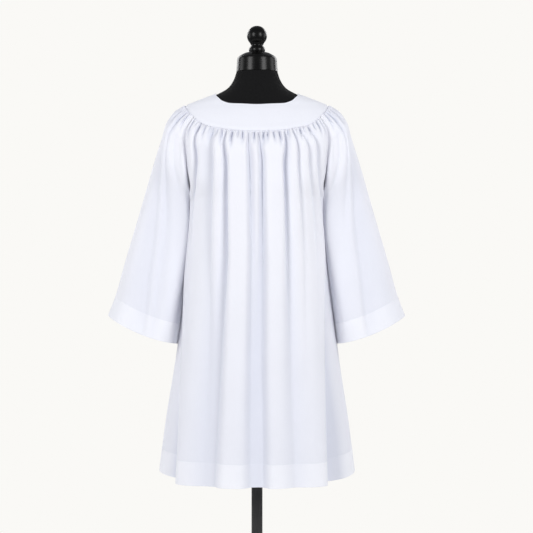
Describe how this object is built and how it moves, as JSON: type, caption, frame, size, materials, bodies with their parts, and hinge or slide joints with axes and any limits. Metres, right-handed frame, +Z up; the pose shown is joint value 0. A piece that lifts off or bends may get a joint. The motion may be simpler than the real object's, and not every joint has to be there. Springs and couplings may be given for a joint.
{
  "type": "surplice on a dress form",
  "caption": "Gathered white surplice with a round yoke, wide open sleeves and turned hems, worn by a limbless dress form on a pole stand.",
  "frame": {"origin": "centre of the underside of the stand's round base, on the floor", "axes": "+Z up; the back of the garment faces -Y and its front +Y; +X is the wearer's right"},
  "size_m": [0.7601, 0.4276, 1.6363],
  "materials": {
    "cloth": "fine plain weave polyester and cotton, white, slightly smooth",
    "jersey": "black knitted cover",
    "lacquer": "black gloss lacquer on turned wood",
    "painted_steel": "satin black powder coat"
  },
  "bodies": {
    "root": {"yoke_back": "cloth", "yoke_front": "cloth", "back": "cloth", "front": "cloth", "sleeve_left": "cloth", "sleeve_right": "cloth", "form_torso": "jersey", "form_neck_cap": "lacquer", "form_finial": "lacquer", "form_pole": "painted_steel", "form_base": "painted_steel"}
  },
  "joints": []
}
